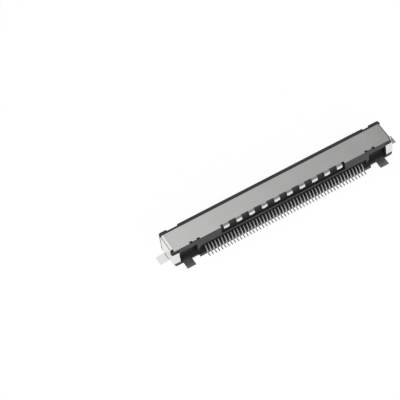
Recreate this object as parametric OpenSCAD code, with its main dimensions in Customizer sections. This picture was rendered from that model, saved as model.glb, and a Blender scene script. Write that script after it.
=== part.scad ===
// Board-side LVDS receptacle: right-angle, surface-mount, shielded, 0.5 mm pitch.
// X runs along the contact row, the mating slot opens towards -Y, the solder tails
// point to +Y, and the board is the plane z = 0. Millimetres.

/* [Contacts] */
// Number of contacts in the row
contacts = 51; // [21:10:51]
// Spacing of the contacts
pitch = 0.5; // [0.45:0.05:0.8]
// Thickness of the sheet that the contacts are blanked from
contact_t = 0.15; // [0.12:0.01:0.2]
// Width of a contact's spring arm and solder tail
strip_w = 0.16; // [0.12:0.02:0.22]
// Height of a contact's mating bump above the comb
bump_h = 0.16; // [0.08:0.02:0.3]
// Distance of the mating bumps from the mating face
bump_y = 0.85; // [0.7:0.05:1.2]
// Length of a contact's lead-in tip ahead of its bump
tip_l = 0.4; // [0.3:0.05:0.6]
// Radius of a spring arm's bends, on the centre line
contact_r = 0.2; // [0.16:0.01:0.25]
// Radius of a solder tail's shoulder, on the centre line
shoulder_r = 0.92; // [0.5:0.02:0.96]
// Radius of the bend above a tail's foot, on the centre line
foot_r = 0.2; // [0.14:0.02:0.3]
// Reach of the solder tails behind the rear wall
tail_reach = 1.07; // [0.9:0.01:1.6]
// Length of a tail's flat solder foot
tail_foot = 0.66; // [0.5:0.02:0.8]
// Depth over which a tail slopes down to its foot
tail_lean = 0.4; // [0.36:0.02:0.6]
// Height of a solder tail's shoulder above the board
shoulder_z = 1.15; // [0.9:0.05:1.3]

/* [Insulator] */
// Height of the connector above the board
height = 3.5; // [3.4:0.05:5]
// Length of the insulator beyond the outermost contact, at each end
end_len = 4.95; // [4.75:0.1:7]
// Depth from the mating face to the rear wall
body_d = 3.8; // [3.7:0.05:5]
// Depth of the rim ahead of the shell
rim_d = 0.54; // [0.4:0.02:0.8]
// Gap between the moulding and the board
standoff = 0.05; // [0.02:0.01:0.1]
// Thickness of the floor under the mating slot
floor_t = 0.55; // [0.5:0.05:0.8]
// Height of the mating slot
slot_h = 1.7; // [1.6:0.05:1.8]
// Depth of the mating slot at the contacts
slot_d = 2.55; // [2.3:0.05:2.6]
// Depth of the mating slot beyond the contacts
end_slot_d = 2.4; // [2:0.05:2.45]
// Size of the lead-in along the slot's upper edge
lead_in = 0.15; // [0.1:0.05:0.3]
// Thickness of the wall at each end of the mating slot
end_wall = 1.1; // [1:0.05:1.3]
// Radius of the insulator's lower corners
corner_r = 0.42; // [0.2:0.02:0.5]
// Radius of the mating face's upright corners
front_r = 0.35; // [0.2:0.05:0.4]
// Height of the comb above the floor of the slot
comb_h = 0.7; // [0.5:0.05:0.75]
// Length of the comb block beyond the outermost contact
block_end = 0.4; // [0.35:0.05:0.6]
// Thickness of the back wall that holds the contacts
back_wall = 0.6; // [0.5:0.05:0.65]
// Height of the rear comb that spaces the tails
foot_h = 0.5; // [0.4:0.05:0.6]
// Reach of the rear comb behind the rear wall
foot_reach = 0.4; // [0.3:0.05:0.45]
// Clear height over the rear comb, under the hood
tail_room_h = 1.2; // [1.1:0.05:1.3]
// Length of the room for the tails beyond the outermost contact
room_end = 0.8; // [0.5:0.05:0.9]
// Width of the pillar between that room and the rear pocket
pillar_w = 0.4; // [0.3:0.05:0.7]
// Height of the recess at the pillar's foot
pillar_step_h = 0.85; // [0.5:0.05:1]
// Depth of that recess
pillar_step_d = 0.25; // [0.1:0.05:0.4]
// Thickness of the moulding outside each rear pocket
pocket_side = 1; // [0.85:0.05:1.2]
// Thickness of the wall between a rear pocket and the mating slot
pocket_wall = 0.3; // [0.25:0.05:0.4]
// Height of a rear pocket
pocket_h = 2.15; // [1.8:0.05:2.2]
// Thickness of the floor of a rear pocket
pocket_floor = 0.3; // [0.25:0.05:0.4]
// Depth of the notch in that floor over the rear pad
pad_notch = 0.25; // [0.1:0.05:0.4]

/* [Polarising keyways] */
// Width of the keyway at the first contact
key_first_w = 0.95; // [0.7:0.05:1.3]
// Width of the keyway at the last contact
key_last_w = 1.7; // [1.4:0.05:1.8]
// Depth of both keyways into the rim
key_d = 0.22; // [0.16:0.02:0.36]
// Distance of the keyways and the rear pads from the insulator's ends
key_inset = 1.98; // [1.9:0.02:2.2]
// Diameter of the ring that marks the first contact
mark_d = 0.6; // [0.4:0.05:0.7]
// Depth of that ring
mark_depth = 0.05; // [0.03:0.01:0.08]

/* [Shell] */
// Thickness of the shell's sheet
shell_t = 0.15; // [0.12:0.01:0.2]
// Inside radius of the bends between the top plate and the end panels
bend_r = 0.28; // [0.2:0.01:0.4]
// Inside radius of the solder tabs' and rear flaps' folds
tab_r = 0.1; // [0.08:0.01:0.16]
// Width of a solder tab, along the depth
tab_w = 1.37; // [1:0.05:1.8]
// Reach of a solder tab beyond the end panel
tab_reach = 1.36; // [0.8:0.02:1.6]
// Drop of a solder tab from its fold to its tip
tab_drop = 0.13; // [0:0.01:0.2]
// Distance of the solder tabs from the rim
tab_from = 0.45; // [0.3:0.05:0.9]
// Height of the end panels' lower edge above the board
panel_z = 0.7; // [0.6:0.05:1]
// Height of the flaps that fold on to the rear face
flap_h = 1.95; // [1.2:0.05:2]
// Reach of the top plate behind the rear wall
plate_out = 0.07; // [0.02:0.01:0.1]
// Size of the relief at the top plate's rear corners
relief = 0.5; // [0.4:0.05:0.6]
// Width of the stubs in the rear edge, where the carrier strip was cut off
stub_w = 0.68; // [0.5:0.02:0.8]
// Distance of a stub's middle from the inner end of the rear pocket
stub_from = 0.22; // [0.15:0.01:1]
// Width of the notch at each side of a stub
notch_w = 0.46; // [0.3:0.02:0.6]
// Depth of those notches
notch_d = 0.28; // [0.2:0.01:0.35]
// Distance of a stub's end from the rear edge
stub_in = 0.1; // [0.05:0.01:0.15]

/* [Ground fingers] */
// Contacts from one ground finger to the next
finger_step = 4; // [3:1:5]
// Width of a ground finger where it folds down
finger_w = 0.86; // [0.6:0.02:1]
// Inside radius of a finger's folds
fold_r = 0.23; // [0.15:0.01:0.25]
// Reach of the fingers' outer faces behind the rear wall
finger_out = 0.05; // [0:0.01:0.1]
// Height of a finger's lower fold above the ledge
fold_over = 0.44; // [0.2:0.01:0.5]
// Length of the finger room beyond the outermost finger
finger_side = 0.42; // [0.2:0.02:0.6]
// Reach of the finger room under the top plate
room_under = 0.25; // [0.1:0.05:0.3]
// Width of the spring that runs forward under the plate
spring_w = 0.3; // [0.2:0.02:0.34]
// Distance of the springs' touching points from the mating face
touch_y = 1.05; // [0.95:0.05:1.3]
// Height of the channel over each spring
channel_h = 0.75; // [0.6:0.05:0.8]
// Thickness of the ledge behind the folded fingers
ledge_t = 0.12; // [0.1:0.01:0.16]
// Height of the ledge above the hood's lower edge
ledge_h = 0.3; // [0.2:0.01:0.4]

/* [Ground bar] */
// Thickness of the bar's sheet
bar_t = 0.2; // [0.15:0.01:0.22]
// Depth of the bar under the floor
bar_d = 1; // [0.8:0.1:1.2]
// Distance of the bar from the mating face
bar_from = 0.9; // [0.7:0.05:1.1]
// Contacts from one front leg to the next
leg_step = 10; // [5:5:10]
// Width of a front leg
leg_w = 0.5; // [0.4:0.05:0.7]
// Reach of the front legs ahead of the mating face
leg_reach = 0.48; // [0.3:0.02:0.8]
// Width of the gap in the lip round each leg
leg_gap = 1.34; // [1:0.02:1.4]
// Depth of that gap
leg_gap_d = 0.45; // [0.3:0.05:0.6]
// Width of a rear pad
pad_w = 1.33; // [1:0.05:1.5]
// Reach of the rear pads behind the rear wall
pad_reach = 1.17; // [1:0.01:1.7]

/* [Fits] */
// Clearance between the shell and the insulator
fit = 0.02; // [0.01:0.01:0.04]
// Clearance under the folded fingers
finger_fit = 0.04; // [0.03:0.01:0.06]
// Clearance on each side of a spring in its channel
spring_fit = 0.05; // [0.03:0.01:0.07]
// Clearance on each side of a contact in its slot
contact_fit = 0.03; // [0.02:0.01:0.04]

/* [Hidden] */
shell_steps = 6;
contact_steps = 3;
arm_steps = 2;
round_steps = 24;
cut = 1;
lap = 0.1;

// Stations along X
half_span = (contacts - 1) * pitch / 2;
half_len = half_span + end_len;
core_x = half_len - fit;
rim_x = half_len + shell_t;
slot_x = half_len - end_wall;
block_x = half_span + block_end;
room_x = half_span + room_end;
pillar_x = room_x + pillar_w;
pocket_x = half_len - pocket_side;
key_x = half_len - key_inset;
panel_x = half_len + shell_t / 2;
tab_x = half_len + shell_t + tab_reach;
plate_x = half_len - bend_r - fit;
flap_x = pocket_x + fit;
stub_x = pillar_x + stub_from;

// Stations along Z
slot_z = standoff + floor_t;
ceiling_z = slot_z + slot_h;
core_z = height - shell_t - fit;
plate_z = height - shell_t / 2;
comb_z = slot_z + comb_h;
bump_z = comb_z + bump_h;
foot_z = standoff + foot_h;
hood_z = foot_z + tail_room_h;
ledge_z = hood_z + ledge_h;
groove_z = hood_z + ledge_t;
channel_z = ceiling_z + channel_h;
arch_z = channel_z - 2 * shell_t;
touch_z = ceiling_z - shell_t / 2;
fold_z = ledge_z + fold_over + shell_t / 2;
spring_z = ledge_z + fold_over - finger_fit;
pocket_z = standoff + pocket_floor;

// Stations along Y, from the mating face
wall_y = slot_d + back_wall;
pocket_y = end_slot_d + pocket_wall;
end_y = body_d - shell_t;
foot_y = body_d + foot_reach;
tail_y = body_d + tail_reach;
pad_y = body_d + pad_reach;
foot_from = tail_y - tail_foot;
shoulder_y = foot_from - tail_lean;
plate_y = body_d + plate_out;
bend_y = plate_y - relief;
ledge_y = body_d - ledge_t;
finger_y = body_d + finger_out - shell_t / 2;
finger_r = fold_r + shell_t / 2;
finger_edge_y = finger_y - finger_r;
room_y = finger_edge_y - room_under;
centre_r = bend_r + shell_t / 2;
tab_centre_r = tab_r + shell_t / 2;
front_y = (leg_reach - max(tail_y, pad_y)) / 2;

// Rows
finger_pitch = finger_step * pitch;
fingers = 2 * floor(contacts / (2 * finger_step + 2));
finger_xs = [for (i = [0:fingers - 1]) (i - (fingers - 1) / 2) * finger_pitch];
finger_zone = finger_xs[fingers - 1] + finger_w / 2 + finger_side;
leg_xs = [for (i = [0:leg_step:contacts - 1]) i * pitch - half_span];
contact_xs = [for (i = [0:contacts - 1]) i * pitch - half_span];
slit_w = contact_t + 2 * contact_fit;

function contact_name(i) = str("contact_", i < 9 ? "0" : "", i + 1);

// Outline of a bent strip: centre line p, its corners rounded to r or to a list of radii,
// in n steps each, t thick
function unit(v) = v / norm(v);
function left_of(v) = [-v[1], v[0]];
function turned(v, a) = [v[0] * cos(a) - v[1] * sin(a), v[0] * sin(a) + v[1] * cos(a)];
function corner(a, b, c, r, h, n) =
    let (u = unit(b - a), v = unit(c - b))
    let (turn = atan2(u[0] * v[1] - u[1] * v[0], u * v), s = sign(turn))
    let (centre = b - u * r * tan(abs(turn) / 2) + left_of(u) * r * s)
    [for (k = [0:n]) centre - (s * r - h) * turned(left_of(u), turn * k / n)];
function side(p, r, h, n) =
    let (e = len(p) - 1)
    concat(
        [p[0] + h * left_of(unit(p[1] - p[0]))],
        [for (i = [1:1:e - 1]) each corner(p[i - 1], p[i], p[i + 1], is_list(r) ? r[i - 1] : r, h, n)],
        [p[e] + h * left_of(unit(p[e] - p[e - 1]))]
    );
function reversed(p) = [for (i = [len(p) - 1:-1:0]) p[i]];
function strip(p, r, t, n) = concat(side(p, r, t / 2, n), reversed(side(p, r, -t / 2, n)));

// Places a piece whose Y is counted from the mating face
module seated() translate([0, front_y, 0]) children();
module block(from, to) translate(from) cube(to - from);
// A YZ profile, w thick and centred on x
module along_x(x, w) translate([x - w / 2, 0, 0]) rotate([90, 0, 90]) linear_extrude(w) children();
// An XZ profile, d deep from y
module along_y(y, d) translate([0, y + d, 0]) rotate([90, 0, 0]) linear_extrude(d) children();

// What a rounded corner of radius r leaves over, as a cutter
module corner_waste(r) {
    difference() {
        square(r + cut);
        circle(r, $fn = round_steps);
    }
}

// Cutter for the lower corners of a body that ends at x, over a depth d from y
module lower_corners(x, y, d) {
    for (s = [0, 1]) mirror([s, 0, 0])
        along_y(y, d)
            translate([x - corner_r, standoff + corner_r]) mirror([0, 1]) corner_waste(corner_r);
}

// Rim round the mating face, flush with the shell's outside
module rim() {
    difference() {
        block([-rim_x, 0, standoff], [rim_x, rim_d, height]);
        lower_corners(rim_x, -cut, rim_d + 2 * cut);
        for (s = [0, 1]) mirror([s, 0, 0])
            translate([rim_x - front_r, front_r, 0])
                linear_extrude(height + cut) mirror([0, 1]) corner_waste(front_r);
    }
}

// Core under the shell, chamfered where the shell bends round it
module core() {
    outline = [
        [-core_x, standoff], [core_x, standoff], [core_x, core_z - bend_r],
        [core_x - bend_r, core_z], [bend_r - core_x, core_z], [-core_x, core_z - bend_r],
    ];
    difference() {
        along_y(rim_d - lap, end_y - rim_d + lap) polygon(outline);
        lower_corners(core_x, 0, body_d);
        for (s = [0, 1]) mirror([s, 0, 0])
            translate([core_x, end_y, 0])
                linear_extrude(height)
                    polygon([[-tab_r - cut, cut], [cut, cut], [cut, -tab_r - cut]]);
    }
}

module insulator_body() {
    rim();
    core();
    block([-pocket_x, rim_d, standoff], [pocket_x, body_d, core_z]);
    block([-pillar_x, slot_d, standoff], [pillar_x, foot_y, foot_z]);
    difference() {
        block([-core_x, end_y - lap, standoff], [core_x, body_d, panel_z - fit]);
        lower_corners(core_x, 0, body_d + cut);
    }
}

// Mating slot: full depth at the contacts, shallower at its ends
module mating_slot() {
    for (part = [[slot_x, end_slot_d], [block_x, slot_d]])
        along_x(0, 2 * part[0])
            polygon([
                [-cut, slot_z], [part[1], slot_z], [part[1], ceiling_z],
                [lead_in, ceiling_z], [0, ceiling_z + lead_in], [-cut, ceiling_z + lead_in],
            ]);
}

module keyway(x, w) block([x - w / 2, -cut, ceiling_z - lap], [x + w / 2, key_d, height + cut]);

// Ring at the first contact, sunk into the back of its keyway
module first_mark() {
    translate([-key_x, key_d - lap, (ceiling_z + core_z) / 2]) rotate([-90, 0, 0]) difference() {
        cylinder(d = mark_d, h = lap + mark_depth, $fn = round_steps);
        cylinder(d = mark_d / 2, h = lap + mark_depth, $fn = round_steps);
    }
}

// Slots that hold the contacts: comb and back wall in one, and the rear comb
module contact_slots() {
    for (x = contact_xs) {
        block([x - slit_w / 2, -cut, slot_z], [x + slit_w / 2, wall_y + lap, bump_z + contact_fit]);
        block([x - slit_w / 2, shoulder_y, -cut], [x + slit_w / 2, foot_y + cut, foot_z + lap]);
    }
}

// Pockets behind the ends of the mating slot, their floor notched over the rear pads
module rear_pockets() {
    pad_half = pad_w / 2 + fit;
    notch_y = body_d - pad_notch;
    for (s = [0, 1]) mirror([s, 0, 0]) {
        block([pillar_x, pocket_y, pocket_z], [pocket_x, body_d + cut, pocket_z + pocket_h]);
        block([key_x - pad_half, notch_y, -cut], [key_x + pad_half, body_d + cut, pocket_z + lap]);
    }
}

// Room for the tails under the hood, with a recess at the foot of each pillar
module tail_room() {
    step_y = body_d - pillar_step_d;
    step_z = foot_z + pillar_step_h;
    block([-room_x, wall_y, foot_z], [room_x, body_d + cut, hood_z]);
    block([-pillar_x - lap, step_y, foot_z], [pillar_x + lap, body_d + cut, step_z]);
}

// Room for the folded fingers, and their channels over the slot
module finger_room() {
    channel_w = spring_w + 2 * spring_fit;
    block([-finger_zone, room_y, groove_z], [finger_zone, ledge_y, height]);
    block([-finger_zone, room_y, ledge_z], [finger_zone, body_d + cut, height]);
    for (x = finger_xs)
        along_x(x, channel_w)
            polygon([
                [-cut, ceiling_z - lap], [slot_d, ceiling_z - lap], [slot_d, spring_z],
                [room_y + lap, spring_z], [room_y + lap, channel_z], [-cut, channel_z],
            ]);
}

module leg_gaps() {
    for (x = leg_xs)
        block([x - leg_gap / 2, -cut, -cut], [x + leg_gap / 2, leg_gap_d, slot_z]);
}

module insulator() {
    color("#242527") seated() difference() {
        union() {
            difference() {
                insulator_body();
                mating_slot();
            }
            block([-block_x, 0, standoff], [block_x, slot_d + lap, comb_z]);
        }
        keyway(-key_x, key_first_w);
        keyway(key_x, key_last_w);
        first_mark();
        contact_slots();
        tail_room();
        rear_pockets();
        finger_room();
        leg_gaps();
        translate([0, 0, -cut]) linear_extrude(cut + bar_t + fit) bar_outline(fit);
    }
}

// One ground finger: folds down behind the plate, then runs forward as an arched spring
module ground_finger(x) {
    root = [finger_edge_y - lap, plate_z];
    knee = [finger_y, plate_z];
    fold = [finger_y, fold_z];
    rise = [0, finger_r];
    arch = [(touch_y + slot_d) / 2, arch_z];
    touch = [touch_y, touch_z];
    tip = [rim_d, arch_z];
    along_x(x, finger_w) polygon(strip([root, knee, fold + rise], finger_r, shell_t, shell_steps));
    along_x(x, spring_w)
        polygon(strip(
            [fold + 2 * rise, fold, [slot_d, fold_z], arch, touch, tip],
            finger_r, shell_t, contact_steps
        ));
}

// What is cut away round a stub, seen from above
module stub_waste() {
    half_w = stub_w / 2 + notch_w;
    translate([-half_w, -stub_in]) square([2 * half_w, stub_in + cut]);
    for (s = [0, 1]) mirror([s, 0]) translate([stub_w / 2, -notch_d]) square([notch_w, notch_d]);
}

// End panel furniture on the +X end: the outward solder tab and the flap on the rear face
module end_folds() {
    flap_y = end_y + fit + shell_t / 2;
    knee = [panel_x, shell_t / 2 + tab_drop];
    tab = [[panel_x, panel_z + lap], knee, [tab_x, shell_t / 2]];
    flap = [[panel_x, bend_y - lap], [panel_x, flap_y], [flap_x, flap_y]];
    along_y(rim_d + tab_from, tab_w) polygon(strip(tab, tab_centre_r, shell_t, shell_steps));
    translate([0, 0, panel_z])
        linear_extrude(flap_h) polygon(strip(flap, tab_centre_r, shell_t, shell_steps));
}

module shield_shell() {
    hood = [[-panel_x, panel_z], [-panel_x, plate_z], [panel_x, plate_z], [panel_x, panel_z]];
    color("#bdbcb6") seated() {
        difference() {
            union() {
                along_y(rim_d + fit, bend_y - rim_d - fit)
                    polygon(strip(hood, centre_r, shell_t, shell_steps));
                block([-plate_x, bend_y - lap, height - shell_t], [plate_x, plate_y, height]);
            }
            block([-finger_zone, finger_edge_y, core_z - lap], [finger_zone, plate_y + cut, height + cut]);
            for (x = [-stub_x, stub_x])
                translate([x, plate_y, core_z - lap]) linear_extrude(height) stub_waste();
        }
        for (x = finger_xs) ground_finger(x);
        for (s = [0, 1]) mirror([s, 0, 0]) end_folds();
    }
}

// Bar with its legs and pads, seen from above
module bar_outline(grow) {
    bar_x = key_x + pad_w / 2;
    translate([-bar_x - grow, bar_from - grow]) square([2 * (bar_x + grow), bar_d + 2 * grow]);
    for (x = leg_xs) {
        translate([x - leg_w / 2 - grow, leg_w / 2 - leg_reach])
            square([leg_w + 2 * grow, bar_from + leg_reach]);
        translate([x, leg_w / 2 - leg_reach]) circle(leg_w / 2 + grow, $fn = round_steps);
    }
    for (s = [-1, 1])
        translate([s * key_x - pad_w / 2 - grow, bar_from]) square([pad_w + 2 * grow, pad_y - bar_from]);
}

module ground_bar() {
    color("#a9a9a6") seated() linear_extrude(bar_t) bar_outline(0);
}

// One blanked contact: spring arm, retention plate in the back wall, and solder tail
module contact(i) {
    x = contact_xs[i];
    arm_z = slot_z + comb_h / 2;
    tip = [bump_y - tip_l, arm_z];
    bump = [bump_y, bump_z - strip_w / 2];
    arm = [(bump_y + slot_d) / 2, arm_z];
    arm_root = [slot_d + lap, arm_z + lap];
    tail_root = [wall_y - lap, shoulder_z];
    shoulder = [shoulder_y, shoulder_z];
    foot = [foot_from, strip_w / 2];
    tail_tip = [tail_y, strip_w / 2];
    color("#c9b98a") seated() {
        along_x(x, contact_t) polygon(strip([tip, bump, arm, arm_root], contact_r, strip_w, arm_steps));
        along_x(x, contact_t)
            translate([slot_d + contact_fit, slot_z + contact_fit])
                square([back_wall - contact_fit, bump_z - slot_z - contact_fit]);
        along_x(x, contact_t)
            polygon(strip(
                [tail_root, shoulder, foot, tail_tip],
                [shoulder_r, foot_r], strip_w, contact_steps
            ));
    }
}

insulator();
shield_shell();
ground_bar();
for (i = [0:contacts - 1])
    contact(i);
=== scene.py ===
# %% [markdown]
# # A board receptacle for a display cable
#
# The part is a small right-angle connector: a black moulding with a row of fine contacts, under a
# folded sheet-metal shell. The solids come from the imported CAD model, so this lesson is about the
# finishes, the light and the camera. Everything is in metres, in the CAD model's own frame: X runs
# along the contacts, -Y is the way a plug comes from, and the board is the plane z = 0.

import bpy
import numpy as np
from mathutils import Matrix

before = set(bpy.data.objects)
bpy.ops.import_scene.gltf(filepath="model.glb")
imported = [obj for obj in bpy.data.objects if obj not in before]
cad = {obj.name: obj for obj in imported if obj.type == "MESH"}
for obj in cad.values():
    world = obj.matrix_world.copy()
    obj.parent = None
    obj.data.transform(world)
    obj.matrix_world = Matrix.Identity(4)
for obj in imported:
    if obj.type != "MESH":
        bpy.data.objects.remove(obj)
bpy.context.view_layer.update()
scene = bpy.context.scene
scene.view_settings.view_transform = "Standard"
MM = 0.001
contact_names = sorted(name for name in cad if name.startswith("contact_"))
print("CAD nodes:", len(cad), "of which contacts:", len(contact_names))

# %% [markdown]
# ## The camera
#
# A product photograph of a part this small is taken from far away with a long lens, so the long
# edges stay almost parallel. The camera could be placed by eye, but it is quicker to state it as a
# surveyor would: the point it aims at, the direction it looks from, the distance and the roll. The
# aim lies beside the part, because the part sits in the right half of the picture, and turning the
# camera keeps the lens free of shift.

# %% Camera
AIM = np.array([9.502, -5.319, 1.776]) * MM
AZIMUTH, ELEVATION, ROLL = 159.180, 52.277, -10.491
DISTANCE = 276.58 * MM
LENS, SENSOR = 180.0, 36.0


def camera_axes(azimuth, elevation, roll):
    """Rows right, up and back: the view direction turned about Z, lifted, then rolled about itself."""
    a, e, r = np.radians([azimuth, elevation, roll])
    back = np.array([np.sin(a) * np.cos(e), -np.cos(a) * np.cos(e), np.sin(e)])
    right = np.array([np.cos(a), np.sin(a), 0.0])
    up = np.cross(back, right)
    return np.array([np.cos(r) * right + np.sin(r) * up, np.cos(r) * up - np.sin(r) * right, back])


axes = camera_axes(AZIMUTH, ELEVATION, ROLL)
pose = np.eye(4)
pose[:3, :3] = axes.T
pose[:3, 3] = AIM + DISTANCE * axes[2]
lens = bpy.data.cameras.new("studio_camera")
lens.lens, lens.sensor_width = LENS, SENSOR
camera = bpy.data.objects.new("studio_camera", lens)
scene.collection.objects.link(camera)
camera.matrix_world = pose.T
scene.camera = camera
print("camera at", np.round(pose[:3, 3] / MM, 1), "mm")

# %% [markdown]
# ## Shader nodes
#
# Every finish below is a small graph of shader nodes. One function adds a node, sets it up and
# links it, so a graph reads as a list: what the node is, its settings, and what goes into it. A
# second function turns the sRGB hex values that a colour picker shows into the linear values that
# a renderer works with, and a third starts a finish with an empty graph.

# %% Helpers for materials
def linear(code):
    """Linear RGBA of an sRGB hex code: the sRGB curve, undone on each channel."""
    c = np.array([int(code[i:i + 2], 16) for i in (1, 3, 5)]) / 255
    c = np.where(c <= 0.04045, c / 12.92, ((c + 0.055) / 1.055) ** 2.4)
    return (*c.tolist(), 1.0)


def add(tree, kind, settings=None, **sockets):
    """Adds a node: settings are its options, sockets hold a value or the output that is linked to them.

    A socket goes by its name or, where a node has several of one name, by its number, as in _6.
    """
    made = tree.nodes.new(kind)
    for name, value in (settings or {}).items():
        setattr(made, name, value)
    for name, value in sockets.items():
        key = int(name[1:]) if name[1:].isdigit() else name.replace("_", " ")
        if isinstance(value, bpy.types.NodeSocket):
            tree.links.new(value, made.inputs[key])
        else:
            made.inputs[key].default_value = value
    return made


def new_finish(name):
    """A material whose graph is still empty, and that graph."""
    material = bpy.data.materials.new(name)
    material.use_nodes = True
    material.node_tree.nodes.clear()
    return material, material.node_tree


print("mid grey in linear light:", np.round(linear("#808080")[:3], 3))

# %% [markdown]
# ## Satin tin on rolled sheet
#
# The shell is copper-alloy strip, plated with tin and then blanked and folded. Tin is a pale neutral
# grey. It is a metal, so all it shows is a blurred picture of the studio. A photograph of plated
# sheet could be laid on it, but noise in Object coordinates needs no file and has no seam at a fold.
# The first layer is broad clouds, where the plating is a little paler and rougher.

# %% Satin tin: clouds
CLOUD_MM = 2.5
TIN_DIM, TIN_PALE = "#dededd", "#e9e9e5"
TIN_ROUGH, TIN_ROUGHER = 0.12, 0.18
COLOURS = {"data_type": "RGBA"}

satin_tin, tree = new_finish("satin_tin_plate")
place = add(tree, "ShaderNodeTexCoord").outputs["Object"]
cloud = add(
    tree, "ShaderNodeTexNoise", Vector=place, Scale=1 / (CLOUD_MM * MM), Detail=4.0, Roughness=0.6,
).outputs["Fac"]
plate = add(tree, "ShaderNodeMix", COLOURS, Factor=cloud, _6=linear(TIN_DIM), _7=linear(TIN_PALE))
rough = add(tree, "ShaderNodeMapRange", Value=cloud, To_Min=TIN_ROUGH, To_Max=TIN_ROUGHER)
print("clouds of", CLOUD_MM, "mm, from", TIN_DIM, "to", TIN_PALE)

# %% [markdown]
# The shear that blanks the sheet leaves its cut edges dull, because they show the bare alloy. Their colour
# is set much darker than bare alloy, though: that part is painted shade, which draws the dark line along
# the edges of the plate. The edges could be marked face by face, but the CAD mesh stays as it is. So a cut
# edge of the top plate is found by where it lies and which way it faces: near the top, and square to the
# front or the back.

# %% Satin tin: cut edges
CUT_EDGE_Z, SQUARE_ON = 3.34 * MM, 0.9
# The cut-edge colour is partly bare alloy and partly painted shade, darker than the alloy, for the dark
# line along the plate.
SHEARED_ALLOY_AND_SHADE, SHEARED_ROUGH = "#55534f", 0.5
TIMES, ABOVE = {"operation": "MULTIPLY"}, {"operation": "GREATER_THAN"}

normal = add(tree, "ShaderNodeNewGeometry").outputs["True Normal"]
facing = add(tree, "ShaderNodeSeparateXYZ", Vector=normal).outputs["Y"]
square = add(tree, "ShaderNodeMath", TIMES, _0=facing, _1=facing)
upright = add(tree, "ShaderNodeMath", ABOVE, _0=square.outputs[0], _1=SQUARE_ON)
height = add(tree, "ShaderNodeSeparateXYZ", Vector=place).outputs["Z"]
high = add(tree, "ShaderNodeMath", ABOVE, _0=height, _1=CUT_EDGE_Z)
sheared = add(tree, "ShaderNodeMath", TIMES, _0=upright.outputs[0], _1=high.outputs[0]).outputs[0]
tint = add(tree, "ShaderNodeMix", COLOURS, Factor=sheared, _6=plate.outputs[2], _7=linear(SHEARED_ALLOY_AND_SHADE))
dull = add(tree, "ShaderNodeMix", Factor=sheared, _2=rough.outputs[0], _3=SHEARED_ROUGH)
print("cut edges above", round(CUT_EDGE_Z / MM, 2), "mm")

# %% [markdown]
# Thin sheet is never quite flat: it waves by a few hundredths of a millimetre, which bends the picture
# in it. It has a fine grain along the rolling direction, and its bends and edges are slightly rounded.
# All of this is too small for the mesh, so it is a chain of normals: the rounded edge, then the waves
# on it, then the grain on them. Real grain is about 0.02 mm wide. It is drawn coarser, so that it shows.

# %% Satin tin: waves, grain and shader
WAVE_MM, WAVE_HIGH_MM = 6.0, 0.04
GRAIN_MM, GRAIN_STRETCH, GRAIN_HIGH_MM, GRAIN_SHARE = 0.12, 0.04, 0.01, 0.05
EDGE_MM, EDGE_RAYS = 0.03, {"samples": 6}

edge = add(tree, "ShaderNodeBevel", EDGE_RAYS, Radius=EDGE_MM * MM)
wave = add(tree, "ShaderNodeTexNoise", Vector=place, Scale=1 / (WAVE_MM * MM), Detail=1.0)
bent = add(
    tree, "ShaderNodeBump", Height=wave.outputs["Fac"], Distance=WAVE_HIGH_MM * MM,
    Strength=1.0, Normal=edge.outputs[0],
)
along = add(tree, "ShaderNodeMapping", Vector=place, Scale=(GRAIN_STRETCH, 1.0, 1.0))
grain = add(tree, "ShaderNodeTexNoise", Vector=along.outputs[0], Scale=1 / (GRAIN_MM * MM), Detail=3.0)
rolled = add(
    tree, "ShaderNodeBump", Height=grain.outputs["Fac"], Distance=GRAIN_HIGH_MM * MM,
    Strength=GRAIN_SHARE, Normal=bent.outputs[0],
)
shader = add(
    tree, "ShaderNodeBsdfPrincipled", Base_Color=tint.outputs[2], Roughness=dull.outputs[0],
    Normal=rolled.outputs[0], Metallic=1.0,
)
add(tree, "ShaderNodeOutputMaterial", Surface=shader.outputs[0])
print("made", satin_tin.name, "of", len(tree.nodes), "nodes")

# %% [markdown]
# ## Black liquid crystal polymer
#
# Fine-pitch connectors are moulded in liquid crystal polymer filled with short glass fibre, because
# it flows into thin walls and stands the heat of soldering. It is black all through. Its skin is
# satin, with soft streaks where the melt flowed, and it mirrors the white table a little on faces
# that turn away from the eye. The streaks are noise, drawn out along the part, the way the melt ran.

# %% Black polymer: streaks
STREAK_MM, STREAK_STRETCH = 0.6, 0.25
POLYMER_DARK, POLYMER_PALE = "#1a191c", "#363538"
POLYMER_ROUGH, POLYMER_ROUGHER = 0.40, 0.55

black_polymer, tree = new_finish("black_liquid_crystal_polymer")
place = add(tree, "ShaderNodeTexCoord").outputs["Object"]
flow = add(tree, "ShaderNodeMapping", Vector=place, Scale=(STREAK_STRETCH, 1.0, 1.0))
streak = add(
    tree, "ShaderNodeTexNoise", Vector=flow.outputs[0], Scale=1 / (STREAK_MM * MM), Detail=5.0,
    Distortion=0.6,
).outputs["Fac"]
body = add(tree, "ShaderNodeMix", COLOURS, Factor=streak, _6=linear(POLYMER_DARK), _7=linear(POLYMER_PALE))
rough = add(tree, "ShaderNodeMapRange", Value=streak, To_Min=POLYMER_ROUGH, To_Max=POLYMER_ROUGHER)
print("streaks of", STREAK_MM, "mm, from", POLYMER_DARK, "to", POLYMER_PALE)

# %% [markdown]
# The ring at the first contact is burnt in by a laser, which leaves its groove a deeper black. The
# groove itself is in the solid. The colour needs a mask, and a short cylinder round the place of the
# ring will do: close to its axis, and at the depth of the groove.

# %% Black polymer: the ring at the first contact
RING_AT, RING_R = (-15.47 * MM, 0.0, 2.815 * MM), 0.31 * MM
RING_Y, RING_DEEP = -1.975 * MM, 0.035 * MM
BURNT = "#070708"
BELOW, WITHIN = {"operation": "LESS_THAN"}, {"operation": "COMPARE"}

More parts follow.
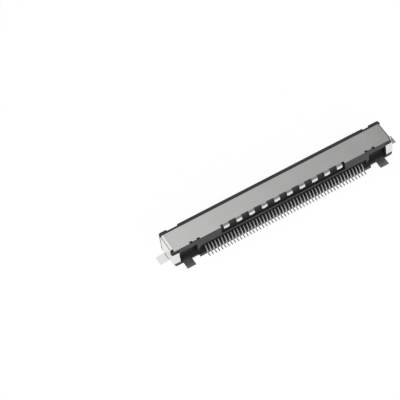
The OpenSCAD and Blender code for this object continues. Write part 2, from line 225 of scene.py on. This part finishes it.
flat = add(tree, "ShaderNodeVectorMath", TIMES, _0=place, _1=(1.0, 0.0, 1.0))
away = add(tree, "ShaderNodeVectorMath", {"operation": "DISTANCE"}, _0=flat.outputs[0], _1=RING_AT)
inside = add(tree, "ShaderNodeMath", BELOW, _0=away.outputs["Value"], _1=RING_R)
depth = add(tree, "ShaderNodeSeparateXYZ", Vector=place).outputs["Y"]
sunk = add(tree, "ShaderNodeMath", WITHIN, _0=depth, _1=RING_Y, _2=RING_DEEP)
marked = add(tree, "ShaderNodeMath", TIMES, _0=inside.outputs[0], _1=sunk.outputs[0]).outputs[0]
tint = add(tree, "ShaderNodeMix", COLOURS, Factor=marked, _6=body.outputs[2], _7=linear(BURNT))
print("ring of", round(2 * RING_R / MM, 2), "mm at x", round(RING_AT[0] / MM, 2), "mm")

# %% [markdown]
# The last layer is the texture of the mould, which the skin copies. It is about 0.02 mm fine on the
# real part. Here it is drawn three times as coarse, because it wouldn't show otherwise. The index of
# refraction starts from 1.5, as for most plastics, and is a little lower here, because the glass
# fibres at the surface scatter some of the gloss.

# %% Black polymer: skin and shader
SKIN_MM, SKIN_HIGH_MM, SKIN_SHARE = 0.06, 0.01, 0.10
POLYMER_IOR = 1.43

edge = add(tree, "ShaderNodeBevel", EDGE_RAYS, Radius=EDGE_MM * MM)
skin = add(tree, "ShaderNodeTexNoise", Vector=place, Scale=1 / (SKIN_MM * MM), Detail=2.0)
moulded = add(
    tree, "ShaderNodeBump", Height=skin.outputs["Fac"], Distance=SKIN_HIGH_MM * MM,
    Strength=SKIN_SHARE, Normal=edge.outputs[0],
)
shader = add(
    tree, "ShaderNodeBsdfPrincipled", Base_Color=tint.outputs[2], Roughness=rough.outputs[0],
    Normal=moulded.outputs[0], IOR=POLYMER_IOR,
)
add(tree, "ShaderNodeOutputMaterial", Surface=shader.outputs[0])
print("made", black_polymer.name, "of", len(tree.nodes), "nodes")

# %% [markdown]
# ## Matt tin on the ground bar
#
# The bar below the moulding has a matt plating that takes solder well. Its pads and legs look dark,
# because what they mirror, softly, is the black wall above them. Its cut edges stand upright, and
# show the bare alloy, as those of the shell do. The bar is flat, so a face is a cut edge where its
# normal isn't vertical.

# %% Matt tin
PAD_CLOUD_MM = 0.8
MATT_DIM, MATT_PALE, BAR_ALLOY = "#b2b2b2", "#c0c0c0", "#6a655e"
MATT_ROUGH, MATT_ROUGHER = 0.48, 0.58
LEANING = 0.5

matt_tin, tree = new_finish("matt_tin_plate")
place = add(tree, "ShaderNodeTexCoord").outputs["Object"]
cloud = add(tree, "ShaderNodeTexNoise", Vector=place, Scale=1 / (PAD_CLOUD_MM * MM), Detail=3.0)
cloud = cloud.outputs["Fac"]
plate = add(tree, "ShaderNodeMix", COLOURS, Factor=cloud, _6=linear(MATT_DIM), _7=linear(MATT_PALE))
rough = add(tree, "ShaderNodeMapRange", Value=cloud, To_Min=MATT_ROUGH, To_Max=MATT_ROUGHER)
normal = add(tree, "ShaderNodeNewGeometry").outputs["True Normal"]
facing = add(tree, "ShaderNodeSeparateXYZ", Vector=normal).outputs["Z"]
square = add(tree, "ShaderNodeMath", TIMES, _0=facing, _1=facing)
sheared = add(tree, "ShaderNodeMath", BELOW, _0=square.outputs[0], _1=LEANING).outputs[0]
tint = add(tree, "ShaderNodeMix", COLOURS, Factor=sheared, _6=plate.outputs[2], _7=linear(BAR_ALLOY))
edge = add(tree, "ShaderNodeBevel", EDGE_RAYS, Radius=EDGE_MM * MM)
shader = add(
    tree, "ShaderNodeBsdfPrincipled", Base_Color=tint.outputs[2], Roughness=rough.outputs[0],
    Normal=edge.outputs[0], Metallic=1.0,
)
add(tree, "ShaderNodeOutputMaterial", Surface=shader.outputs[0])
print("made", matt_tin.name, "of", len(tree.nodes), "nodes")

# %% [markdown]
# ## Contacts: gold in the slot, tin on the tail
#
# A contact is phosphor bronze. The end that meets the plug has a thin flash of gold, and the solder tail
# is tin plated. The gold is given a very dark colour, a painted shade that stands for the dark slots the
# mating ends lie in. Over the shoulder, where the tail leaves the wall, the colour blends from this dark
# gold to tin, which paints shade on the shoulder under the wall. So the finish depends only on how deep a
# point lies: its Y coordinate. One material then serves all the contacts. The feet have the thickest tin,
# and it is rougher there.

# %% Selectively plated contacts
GOLD_END_Y, TIN_FULL_PAST_SHADE_Y = 0.95 * MM, 1.70 * MM
FOOT_FROM_Y, FOOT_Y = 1.85 * MM, 2.05 * MM
TAIL_CLOUD_MM = 0.4
# The gold colour is made dark, a painted shade for the slots; its blend into tin paints shade on the
# tail's shoulder.
GOLD_IN_PAINTED_SHADE, TAIL_DIM, TAIL_PALE = "#4f4631", "#d0d0ce", "#e2e1dc"
TAIL_ROUGH, FOOT_ROUGH = 0.36, 0.5

plated_and_shaded_contact, tree = new_finish("phosphor_bronze_gold_tin_and_painted_shade")
place = add(tree, "ShaderNodeTexCoord").outputs["Object"]
depth = add(tree, "ShaderNodeSeparateXYZ", Vector=place).outputs["Y"]
tin_share_past_shade = add(tree, "ShaderNodeMapRange", Value=depth, From_Min=GOLD_END_Y, From_Max=TIN_FULL_PAST_SHADE_Y).outputs[0]
cloud = add(tree, "ShaderNodeTexNoise", Vector=place, Scale=1 / (TAIL_CLOUD_MM * MM), Detail=3.0)
cloud = cloud.outputs["Fac"]
tin = add(tree, "ShaderNodeMix", COLOURS, Factor=cloud, _6=linear(TAIL_DIM), _7=linear(TAIL_PALE))
tint = add(tree, "ShaderNodeMix", COLOURS, Factor=tin_share_past_shade, _6=linear(GOLD_IN_PAINTED_SHADE), _7=tin.outputs[2])
rough = add(
    tree, "ShaderNodeMapRange", Value=depth, From_Min=FOOT_FROM_Y, From_Max=FOOT_Y,
    To_Min=TAIL_ROUGH, To_Max=FOOT_ROUGH,
)
shader = add(
    tree, "ShaderNodeBsdfPrincipled", Base_Color=tint.outputs[2], Roughness=rough.outputs[0], Metallic=1.0,
)
add(tree, "ShaderNodeOutputMaterial", Surface=shader.outputs[0])
print("made", plated_and_shaded_contact.name, "of", len(tree.nodes), "nodes")

# %% [markdown]
# ## Dressing the solids
#
# A CAD node keeps its mesh and only changes its material slot, so the shapes stay those of the CAD model.

# %% Finishes on to the nodes
dress = {"insulator": black_polymer, "shield_shell": satin_tin, "ground_bar": matt_tin}
dress.update({name: plated_and_shaded_contact for name in contact_names})
for name, material in dress.items():
    cad[name].data.materials.clear()
    cad[name].data.materials.append(material)
print("dressed", len(dress), "nodes")

# %% [markdown]
# ## The table
#
# The part lies on a wide white table. One square face is enough for it. The table lies a hair below
# the plane of the board, so that it doesn't share a plane with the feet of the contacts.

# %% Table
TABLE_MM, TABLE_DROP_MM = 3000.0, 0.02

half = TABLE_MM * MM / 2
corners = [(-half, -half, 0), (half, -half, 0), (half, half, 0), (-half, half, 0)]
mesh = bpy.data.meshes.new("table")
mesh.from_pydata(corners, [], [(0, 1, 2, 3)])
table = bpy.data.objects.new("table", mesh)
table.location.z = -TABLE_DROP_MM * MM
scene.collection.objects.link(table)
print("table", TABLE_MM, "mm wide")

# %% [markdown]
# The table is a plain matt white, but a camera exposed for the metal sees it as pure white. More light
# would bleach the part too. So the table's material shows itself as white to the camera and to
# mirror-like surfaces, and keeps a share of its true shading, which holds the shadow under the part.

# %% Finish of the table
SHADOW_SHARE = 0.04
TABLE_WHITE, TABLE_ROUGH = "#f4f4f4", 0.9
WHITE = (1.0, 1.0, 1.0, 1.0)
LARGER = {"operation": "MAXIMUM"}

white_table, tree = new_finish("matt_white_table")
matt = add(
    tree, "ShaderNodeBsdfPrincipled", Base_Color=linear(TABLE_WHITE), Roughness=TABLE_ROUGH,
    Specular_IOR_Level=0.0,
)
ray = add(tree, "ShaderNodeLightPath").outputs
seen = add(tree, "ShaderNodeMath", LARGER, _0=ray["Is Camera Ray"], _1=ray["Is Glossy Ray"])
seen = add(tree, "ShaderNodeMath", LARGER, _0=seen.outputs[0], _1=ray["Is Transmission Ray"])
share = add(tree, "ShaderNodeMath", TIMES, _0=seen.outputs[0], _1=1 - SHADOW_SHARE)
glow = add(tree, "ShaderNodeEmission", Color=WHITE, Strength=1.0)
both = add(tree, "ShaderNodeMixShader", _0=share.outputs[0], _1=matt.outputs[0], _2=glow.outputs[0])
add(tree, "ShaderNodeOutputMaterial", Surface=both.outputs[0])
table.data.materials.append(white_table)
print("made", white_table.name, "of", len(tree.nodes), "nodes")

# %% [markdown]
# ## The tent
#
# Metal looks like what stands round it, so the light is built as a thing to be mirrored: a cloth
# dome over the table, lit from outside. Lamps alone would leave the flat plate black between their
# mirror images. The camera looks through the cloth, so that a low view has a white background too.

# %% Cloth dome
DOME_M, TURNS, RINGS = 1.4, 64, 24


def half_sphere(radius, rings, turns):
    """Points ring by ring: a ring's height goes with the sine of its lift, its radius with the cosine."""
    lifts, angles = np.linspace(0, np.pi / 2, rings + 1), np.linspace(0, 2 * np.pi, turns, endpoint=False)
    lift, turn = np.meshgrid(lifts, angles, indexing="ij")
    points = np.stack([np.cos(lift) * np.cos(turn), np.cos(lift) * np.sin(turn), np.sin(lift)], -1)
    return radius * points.reshape(-1, 3)


first = np.arange(RINGS)[:, None] * TURNS
here = (first + np.arange(TURNS)[None]).ravel()
beside = (first + (np.arange(TURNS)[None] + 1) % TURNS).ravel()
quads = np.stack([here, here + TURNS, beside + TURNS, beside], 1)
mesh = bpy.data.meshes.new("cloth_dome")
mesh.from_pydata(half_sphere(DOME_M, RINGS, TURNS), [], quads.tolist())
dome = bpy.data.objects.new("cloth_dome", mesh)
dome.visible_camera = False
scene.collection.objects.link(dome)
print("dome of", len(mesh.polygons), "faces")

# %% [markdown]
# A wide soft box glows through the front of the cloth, bright on the right and fading to the left,
# which gives the flat plate its slow gradient. A dark card stands at each side of the box, and draws
# the dark line in the rounded ends of the shell. Boxes and cards could be pieces of their own, but
# they are only ever seen mirrored, so they are patterns in the cloth. Each number below is an X, Y or
# Z of the direction from the part to a place on the cloth, from -1 to 1.

# %% Cloth: soft box and cards
BOX, BOX_FADED, BOX_LOW = 1.13, 0.28, 0.5
BOX_FADE_X, BOX_LOW_Z = (-0.36, 0.05), (0.0, 0.5)
CARD_X, CARD_Y, CARD_Z = (0.45, 0.60), (-0.66, -0.60), (0.22, 0.55)
SMOOTH = {"interpolation_type": "SMOOTHSTEP"}

cloth, tree = new_finish("lit_tent_cloth")
place = add(tree, "ShaderNodeTexCoord").outputs["Object"]
way = add(tree, "ShaderNodeVectorMath", {"operation": "NORMALIZE"}, _0=place)
way = add(tree, "ShaderNodeSeparateXYZ", Vector=way.outputs[0]).outputs
across = add(
    tree, "ShaderNodeMapRange", Value=way["X"], From_Min=BOX_FADE_X[0], From_Max=BOX_FADE_X[1],
    To_Min=BOX_FADED,
)
lower = add(
    tree, "ShaderNodeMapRange", Value=way["Z"], From_Min=BOX_LOW_Z[0], From_Max=BOX_LOW_Z[1],
    To_Min=BOX_LOW,
)
panel = add(tree, "ShaderNodeMath", TIMES, _0=across.outputs[0], _1=lower.outputs[0])
panel = add(tree, "ShaderNodeMath", TIMES, _0=panel.outputs[0], _1=BOX)
aside = add(tree, "ShaderNodeMath", {"operation": "ABSOLUTE"}, _0=way["X"]).outputs[0]
aside = add(tree, "ShaderNodeMapRange", SMOOTH, Value=aside, From_Min=CARD_X[0], From_Max=CARD_X[1])
edge_on = add(tree, "ShaderNodeMapRange", SMOOTH, Value=way["Y"], From_Min=CARD_Y[0], From_Max=CARD_Y[1])
below = add(
    tree, "ShaderNodeMapRange", SMOOTH, Value=way["Z"], From_Min=CARD_Z[0], From_Max=CARD_Z[1],
    To_Min=1.0, To_Max=0.0,
)
card = add(tree, "ShaderNodeMath", TIMES, _0=aside.outputs[0], _1=edge_on.outputs[0])
card = add(tree, "ShaderNodeMath", TIMES, _0=card.outputs[0], _1=below.outputs[0])
panel = add(tree, "ShaderNodeMix", Factor=card.outputs[0], _2=panel.outputs[0], _3=0.0)
print("soft box from", round(BOX * BOX_FADED, 2), "to", BOX)

# %% [markdown]
# Behind the part the cloth is evenly lit, brighter above than near the table, except for a strip of
# grey felt from the top down. All the folds that run along the part mirror this one strip, and so
# they show as dark lines.

# %% Cloth: the back, the felt and the whole
CLOTH, HIGH_CLOTH, FELT = 0.45, 0.75, 0.28
HIGH_Z, FRONT_Y = (0.2, 0.5), (-0.5, -0.1)
FELT_IN_X, FELT_OUT_X = (-0.46, -0.34), (-0.13, -0.02)

upper = add(tree, "ShaderNodeMapRange", SMOOTH, Value=way["Z"], From_Min=HIGH_Z[0], From_Max=HIGH_Z[1])
behind = add(tree, "ShaderNodeMix", Factor=upper.outputs[0], _2=CLOTH, _3=HIGH_CLOTH)
felt_in = add(
    tree, "ShaderNodeMapRange", SMOOTH, Value=way["X"], From_Min=FELT_IN_X[0], From_Max=FELT_IN_X[1],
)
felt_out = add(
    tree, "ShaderNodeMapRange", SMOOTH, Value=way["X"], From_Min=FELT_OUT_X[0], From_Max=FELT_OUT_X[1],
    To_Min=1.0, To_Max=0.0,
)
felt = add(tree, "ShaderNodeMath", TIMES, _0=felt_in.outputs[0], _1=felt_out.outputs[0])
behind = add(tree, "ShaderNodeMix", Factor=felt.outputs[0], _2=behind.outputs[0], _3=FELT)
front = add(
    tree, "ShaderNodeMapRange", SMOOTH, Value=way["Y"], From_Min=FRONT_Y[0], From_Max=FRONT_Y[1],
    To_Min=1.0, To_Max=0.0,
)
level = add(tree, "ShaderNodeMix", Factor=front.outputs[0], _2=behind.outputs[0], _3=panel.outputs[0])
glow = add(tree, "ShaderNodeEmission", Color=WHITE, Strength=level.outputs[0])
add(tree, "ShaderNodeOutputMaterial", Surface=glow.outputs[0])
dome.data.materials.append(cloth)
print("made", cloth.name, "of", len(tree.nodes), "nodes")

# %% [markdown]
# The cloth alone leaves the upright black walls at the back too dark, so one large lamp stands behind
# the part and shines down on it. It lights what is matt: the polymer and the table. It is kept out of
# the mirror images, because the metal would show it as a white patch. Round it all is a plain white
# world, which only the camera meets.

# %% Rear lamp and the world
LAMP_W, LAMP_M, LAMP_Y, LAMP_Z = 10.0, 0.9, 0.8, 0.45

light = bpy.data.lights.new("rear_lamp", "AREA")
light.shape, light.size, light.energy = "DISK", LAMP_M, LAMP_W
lamp = bpy.data.objects.new("rear_lamp", light)
lamp.location = (0.0, LAMP_Y, LAMP_Z)
lamp.rotation_euler.x = -np.arctan2(LAMP_Y, LAMP_Z)
lamp.visible_glossy = False
lamp.visible_camera = False
scene.collection.objects.link(lamp)

world = bpy.data.worlds.new("white_surroundings")
scene.world = world
world.use_nodes = True
background = world.node_tree.nodes["Background"]
background.inputs["Color"].default_value = WHITE
background.inputs["Strength"].default_value = 1.0
print("lamp of", LAMP_W, "W")
